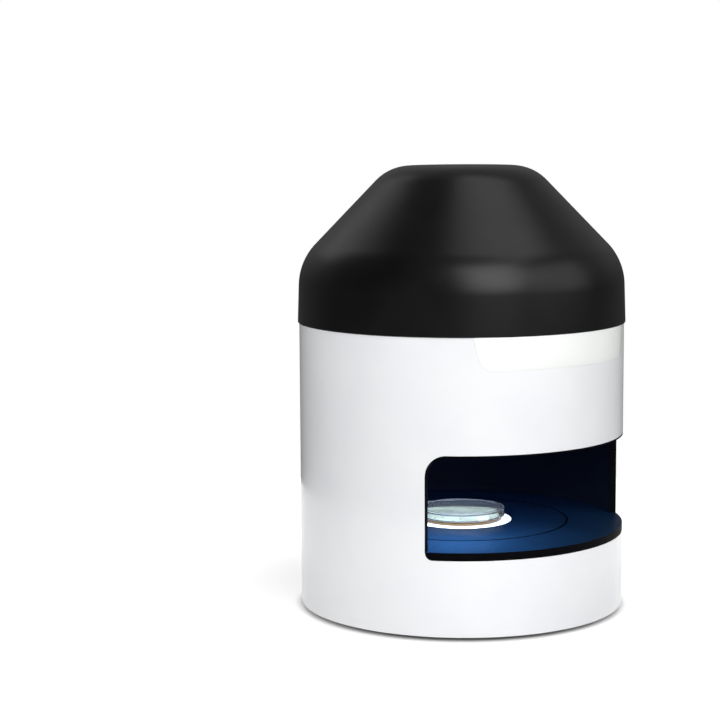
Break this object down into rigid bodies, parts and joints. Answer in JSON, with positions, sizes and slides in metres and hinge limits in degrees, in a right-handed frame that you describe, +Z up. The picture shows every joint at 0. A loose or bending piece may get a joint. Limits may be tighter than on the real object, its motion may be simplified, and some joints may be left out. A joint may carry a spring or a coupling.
{
  "type": "colony counter",
  "caption": "Round bench instrument that lights and photographs a culture dish in a dark chamber, reached through a wrap-round opening below a black dome.",
  "frame": {"origin": "on the bench under the middle of the machine", "axes": "+Z up; the middle of the opening faces -Y and the connections are at +Y"},
  "size_m": [0.3429, 0.343, 0.463],
  "materials": {
    "shell_white": "glossy white moulded shell",
    "trim_black": "satin black",
    "badge_milky": "milky translucent, smooth",
    "dome_black": "satin black",
    "screw_black": "blackened steel",
    "liner_black": "matt black, light-absorbing",
    "deck_black": "smooth dark blue-black",
    "stage_black": "smooth dark blue-black paint",
    "window_opal": "opal, lit from below",
    "ceiling_black": "matt black paint",
    "steel": "plated steel",
    "opal_light": "opal",
    "board_green": "solder mask",
    "led_chip": "clear epoxy",
    "baffle_black": "flock-black",
    "post_alu": "turned",
    "plate_alu": "milled",
    "camera_black": "black anodised",
    "socket_metal": "nickel plated",
    "barrel_black": "black anodised",
    "ring_black": "black anodised, knurled",
    "screw_bright": "nickel plated brass",
    "lens_glass": "coated optical glass",
    "base_grey": "powder coat",
    "foot_rubber": "soft black rubber",
    "pillar_alu": "turned",
    "reflector_white": "matt white",
    "standoff_brass": "turned",
    "chip_black": "moulded epoxy",
    "can_alu": "drawn can",
    "panel_black": "fine texture",
    "jack_black": "moulded",
    "switch_black": "moulded",
    "rocker_black": "moulded",
    "dish_clear": "clear polystyrene",
    "agar": "amber culture gel",
    "lid_clear": "clear polystyrene"
  },
  "bodies": {
    "cabinet": {"body_shell": "shell_white", "opening_trim": "trim_black", "badge_tab": "badge_milky", "dome_cover": "dome_black", "dome_screws": "screw_black", "chamber_liner": "liner_black", "chamber_floor": "deck_black", "ceiling_plate": "ceiling_black", "ceiling_screws": "steel", "ring_light_diffuser": "opal_light", "ring_light_board": "board_green", "ring_light_leds": "led_chip", "ring_light_screws": "steel", "light_baffle": "baffle_black", "baffle_screws": "steel", "camera_posts": "post_alu", "camera_plate": "plate_alu", "camera_plate_screws": "steel", "camera_body": "camera_black", "camera_socket": "socket_metal", "camera_screws": "steel", "lens_barrel": "barrel_black", "rear_glass": "lens_glass", "base_plate": "base_grey", "base_screws": "steel", "rubber_feet": "foot_rubber", "foot_screws": "steel", "floor_pillars": "pillar_alu", "backlight_board": "board_green", "backlight_leds": "led_chip", "backlight_reflector": "reflector_white", "backlight_standoffs": "standoff_brass", "backlight_screws": "steel", "control_board": "board_green", "board_standoffs": "standoff_brass", "board_screws": "steel", "board_chips": "chip_black", "board_capacitors": "can_alu", "rear_panel": "panel_black", "panel_screws": "steel", "power_inlet": "jack_black", "data_socket": "socket_metal", "switch_frame": "switch_black"},
    "stage": {"stage_plate": "stage_black", "stage_diffuser": "window_opal"},
    "dish": {"dish_base": "dish_clear", "dish_agar": "agar"},
    "lid": {"dish_lid": "lid_clear"},
    "iris": {"iris_ring": "ring_black", "iris_lock_screw": "screw_bright"},
    "focus": {"focus_ring": "ring_black", "focus_lock_screw": "screw_bright"},
    "front_lens": {"focus_tube": "barrel_black", "front_glass": "lens_glass"},
    "rocker": {"power_rocker": "rocker_black"}
  },
  "joints": [
    {"name": "stage_lift", "type": "slide", "parent": "cabinet", "child": "stage", "axis": [0, 0, 1], "range_m": [0, 0.04]},
    {"name": "dish_slide", "type": "slide", "parent": "stage", "child": "dish", "axis": [0, -1, 0], "range_m": [0, 0.24]},
    {"name": "lid_lift", "type": "slide", "parent": "dish", "child": "lid", "axis": [0, 0, 1], "range_m": [0, 0.03]},
    {"name": "iris_turn", "type": "hinge", "parent": "cabinet", "child": "iris", "pos_m": [0, 0, 0.3415], "axis": [0, 0, 1], "range_deg": [-40, 40]},
    {"name": "focus_turn", "type": "hinge", "parent": "cabinet", "child": "focus", "pos_m": [0, 0, 0.3235], "axis": [0, 0, 1], "range_deg": [0, 120]},
    {"name": "front_lens_travel", "type": "slide", "parent": "cabinet", "child": "front_lens", "axis": [0, 0, -1], "range_m": [0, 0.004]},
    {"name": "power_switch", "type": "hinge", "parent": "cabinet", "child": "rocker", "pos_m": [0.032, 0.153, 0.044], "axis": [-1, 0, 0], "range_deg": [0, 20]}
  ],
  "couplings": [
    {"joint": "front_lens_travel", "follows": "focus_turn", "m_per_rad": 0.0019}
  ]
}
